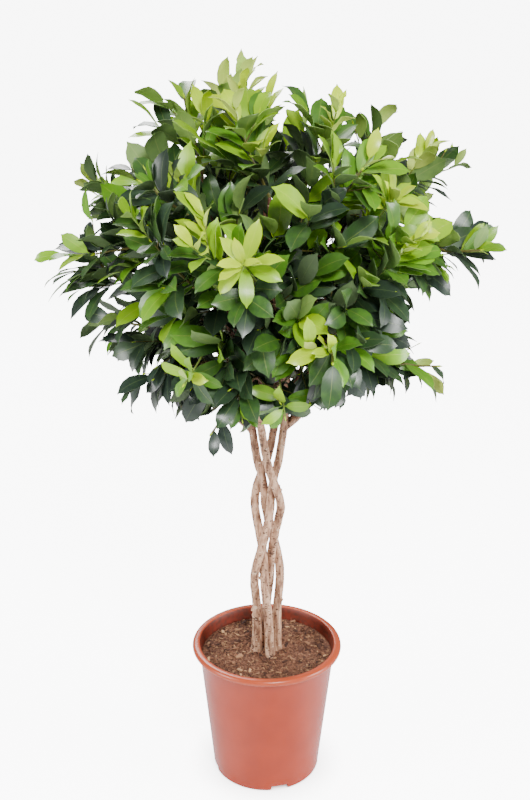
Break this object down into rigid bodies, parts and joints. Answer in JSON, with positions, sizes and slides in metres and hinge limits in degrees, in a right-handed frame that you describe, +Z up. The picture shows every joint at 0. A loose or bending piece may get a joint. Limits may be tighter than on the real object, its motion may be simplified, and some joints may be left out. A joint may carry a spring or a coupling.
{
  "type": "potted indoor tree",
  "caption": "Round-headed indoor ficus about 1.4 m tall on braided stems, rooted in a terracotta-coloured plastic nursery pot of potting mix.",
  "frame": {"origin": "middle of the pot's foot, on the surface it stands on", "axes": "+Z up along the pot's axis and the trunk; -Y is the side the picture was taken from"},
  "size_m": [0.7905, 0.6538, 1.3786],
  "materials": {
    "terracotta_plastic": "satin",
    "potting_mix": "matte",
    "bark": "matte",
    "leaf": "satin",
    "young_leaf": "satin"
  },
  "bodies": {
    "root": {"pot": "terracotta_plastic", "shoot_01": "young_leaf", "shoot_02": "young_leaf", "shoot_04": "young_leaf", "shoot_05": "young_leaf", "shoot_07": "young_leaf", "shoot_08": "young_leaf", "shoot_09": "young_leaf", "shoot_10": "young_leaf", "shoot_12": "young_leaf", "shoot_14": "young_leaf", "shoot_15": "young_leaf", "shoot_16": "young_leaf", "shoot_17": "young_leaf", "shoot_20": "young_leaf", "shoot_21": "young_leaf", "shoot_22": "young_leaf", "shoot_23": "young_leaf", "shoot_24": "young_leaf", "shoot_29": "young_leaf", "shoot_30": "young_leaf", "shoot_31": "young_leaf", "soil": "potting_mix", "spray_01": "leaf", "spray_02": "leaf", "spray_03": "leaf", "spray_04": "leaf", "spray_05": "leaf", "spray_06": "leaf", "spray_07": "leaf", "spray_08": "leaf", "spray_09": "leaf", "spray_10": "leaf", "spray_11": "leaf", "spray_12": "leaf", "spray_13": "leaf", "spray_14": "leaf", "spray_15": "leaf", "spray_16": "leaf", "spray_17": "leaf", "spray_18": "leaf", "spray_19": "leaf", "spray_20": "leaf", "spray_21": "leaf", "spray_22": "leaf", "spray_23": "leaf", "spray_24": "leaf", "spray_25": "leaf", "spray_26": "leaf", "spray_27": "leaf", "spray_28": "leaf", "spray_29": "leaf", "spray_30": "leaf", "spray_31": "leaf", "spray_32": "leaf", "stem_1": "bark", "stem_2": "bark", "stem_3": "bark", "stem_4": "bark"}
  },
  "joints": []
}
